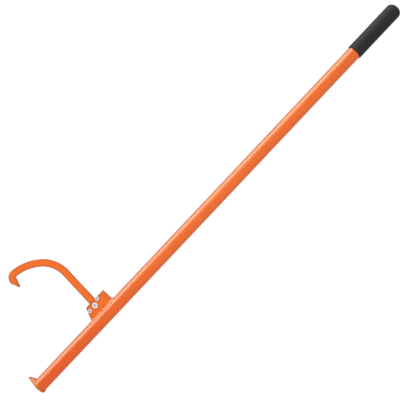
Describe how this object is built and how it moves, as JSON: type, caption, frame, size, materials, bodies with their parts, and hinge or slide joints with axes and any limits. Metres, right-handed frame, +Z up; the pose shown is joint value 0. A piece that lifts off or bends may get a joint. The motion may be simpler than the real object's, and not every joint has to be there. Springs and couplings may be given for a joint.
{
  "type": "felling lever",
  "caption": "Tubular steel felling lever with a pivoting flat-bar hook in a folded bracket, a welded toe plate with a lip and a rubber grip.",
  "frame": {"origin": "centre of the toe plate's outer face, on the tube's axis", "axes": "+X along the tube towards the grip, +Y from the tube towards the hook, +Z up along the pivot bolt, with the lever lying on its side"},
  "size_m": [1.2, 0.247, 0.036],
  "materials": {
    "orange_paint": "semi-gloss powder coat",
    "black_rubber": "matt",
    "zinc": "bright zinc plate",
    "nylon": "satin"
  },
  "bodies": {
    "lever": {"tube": "orange_paint", "toe_plate": "orange_paint", "toe_back_weld": "orange_paint", "toe_lip_weld": "orange_paint", "grip": "black_rubber", "bracket": "orange_paint", "upper_foot_weld": "orange_paint", "fold_weld": "orange_paint", "lower_foot_weld": "orange_paint", "pivot_bolt": "zinc", "pivot_nut": "zinc", "pivot_nut_insert": "nylon", "toe_stop_bolt": "zinc", "toe_stop_nut": "zinc", "toe_stop_nut_insert": "nylon", "grip_stop_bolt": "zinc", "grip_stop_nut": "zinc", "grip_stop_nut_insert": "nylon"},
    "hook": {"hook": "orange_paint"}
  },
  "joints": [
    {"name": "hook_swing", "type": "hinge", "parent": "lever", "child": "hook", "pos_m": [0.2278, 0.0342, 0], "axis": [0, 0, 1], "range_deg": [-13.5, 53.5]}
  ]
}
